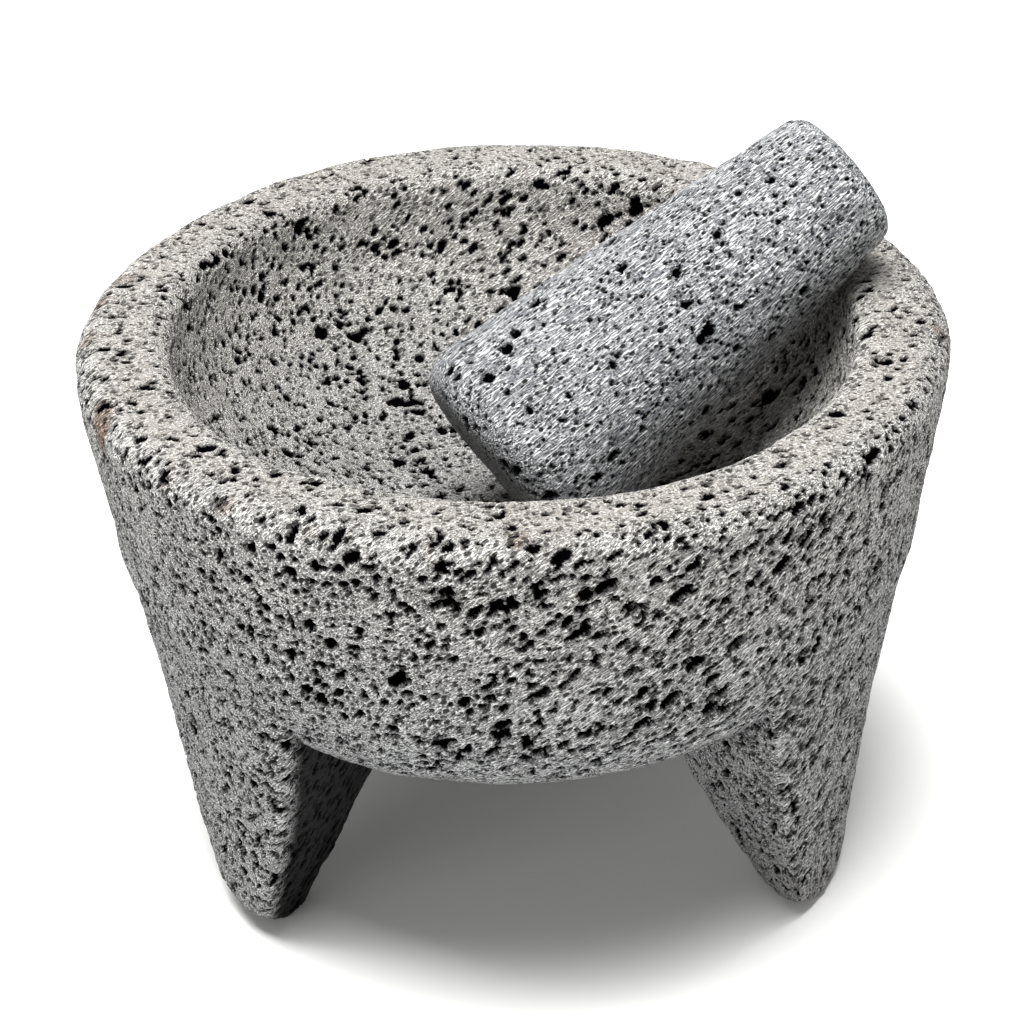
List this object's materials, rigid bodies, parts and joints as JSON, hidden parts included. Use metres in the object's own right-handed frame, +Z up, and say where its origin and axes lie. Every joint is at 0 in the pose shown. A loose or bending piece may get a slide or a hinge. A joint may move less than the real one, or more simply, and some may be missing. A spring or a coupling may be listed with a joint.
{
  "type": "molcajete",
  "caption": "Stone mortar carved from one block with a round bowl on tapering legs, and a loose tapered stone pestle leaning in the bowl.",
  "frame": {"origin": "on the floor the feet stand on, where the bowl's upright axis meets it", "axes": "+Z up along the bowl's axis; -Y towards the front, the gap between the two front legs; +X to the right, where the pestle's grip end leans"},
  "size_m": [0.2, 0.2, 0.178],
  "materials": {
    "mortar_basalt": "pecked and ground porous basalt, dry and matt",
    "pestle_basalt": "ground porous basalt with fine grinding lines along it, dry and matt"
  },
  "bodies": {
    "mortar": {"mortar": "mortar_basalt"},
    "pestle": {"pestle": "pestle_basalt"}
  },
  "joints": [
    {"name": "pestle_lift", "type": "slide", "parent": "mortar", "child": "pestle", "axis": [0, 0, 1], "range_m": [0, 0.1]}
  ]
}
